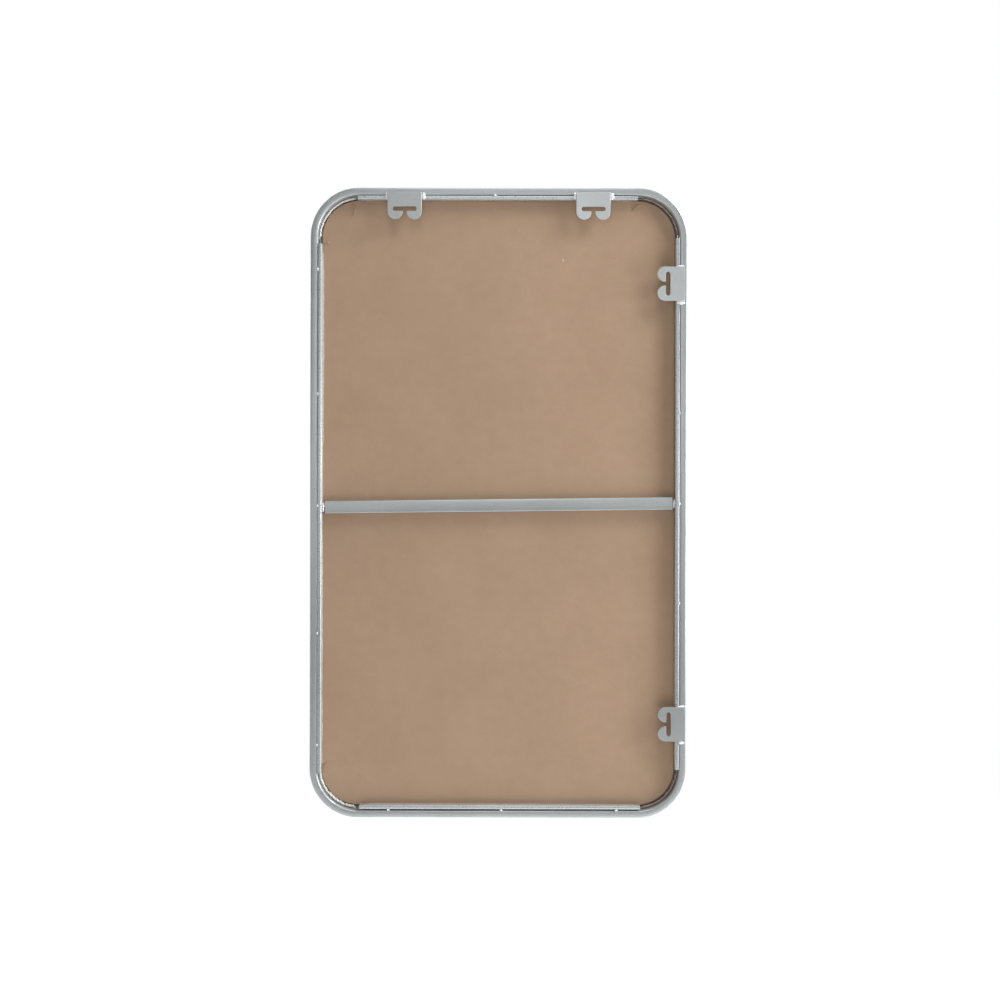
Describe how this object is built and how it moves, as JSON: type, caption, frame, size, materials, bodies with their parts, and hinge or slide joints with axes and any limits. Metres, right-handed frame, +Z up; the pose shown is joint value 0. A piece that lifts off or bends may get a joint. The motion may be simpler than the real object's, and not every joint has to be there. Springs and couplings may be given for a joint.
{
  "type": "framed wall mirror",
  "caption": "Flat wall mirror with round corners in a deep silver-painted steel tube hoop, fibreboard back, cross bar and slotted hanger plates for upright or sideways hanging.",
  "frame": {"origin": "on the wall plane, midway between the two screws that carry the mirror upright, at the upper edge of the top hangers' slots", "axes": "+Z up, +Y towards the wall, +X to the right of a person who looks into the glass; the glass faces -Y"},
  "size_m": [0.6096, 0.0277, 1.0192],
  "materials": {
    "silver_paint": "satin silver-grey paint on steel",
    "weld_metal": "painted-over weld beads, a little brighter and rougher than the tube",
    "fibreboard": "raw medium-density fibreboard, matt, fine fibre specks",
    "mirror": "silvered clear glass, grey backing paint, ground edge",
    "silicone": "cured translucent silicone",
    "mastic": "mirror mastic, pressed flat",
    "clear_glue": "hot-melt glue, milky"
  },
  "bodies": {
    "root": {"backing_board": "fibreboard", "corner_glue_bottom_left": "clear_glue", "corner_glue_bottom_right": "clear_glue", "corner_glue_top_left": "clear_glue", "corner_glue_top_right": "clear_glue", "cross_bar": "silver_paint", "cross_bar_weld_left": "weld_metal", "cross_bar_weld_right": "weld_metal", "frame_hoop": "silver_paint", "hanger_side_lower": "silver_paint", "hanger_side_lower_weld_1": "weld_metal", "hanger_side_lower_weld_2": "weld_metal", "hanger_side_upper": "silver_paint", "hanger_side_upper_weld_1": "weld_metal", "hanger_side_upper_weld_2": "weld_metal", "hanger_top_left": "silver_paint", "hanger_top_left_weld_1": "weld_metal", "hanger_top_left_weld_2": "weld_metal", "hanger_top_right": "silver_paint", "hanger_top_right_weld_1": "weld_metal", "hanger_top_right_weld_2": "weld_metal", "ledge_bottom": "silver_paint", "ledge_bottom_silicone": "silicone", "ledge_bottom_tack_1": "weld_metal", "ledge_bottom_tack_2": "weld_metal", "ledge_bottom_tack_3": "weld_metal", "ledge_left": "silver_paint", "ledge_left_silicone": "silicone", "ledge_left_tack_1": "weld_metal", "ledge_left_tack_2": "weld_metal", "ledge_left_tack_3": "weld_metal", "ledge_right": "silver_paint", "ledge_right_silicone": "silicone", "ledge_right_tack_1": "weld_metal", "ledge_right_tack_2": "weld_metal", "ledge_right_tack_3": "weld_metal", "ledge_right_tack_4": "weld_metal", "ledge_right_tack_5": "weld_metal", "ledge_top": "silver_paint", "ledge_top_silicone": "silicone", "ledge_top_tack_1": "weld_metal", "mirror_glass": "mirror", "mirror_mastic_left": "mastic", "mirror_mastic_middle": "mastic", "mirror_mastic_right": "mastic"}
  },
  "joints": []
}
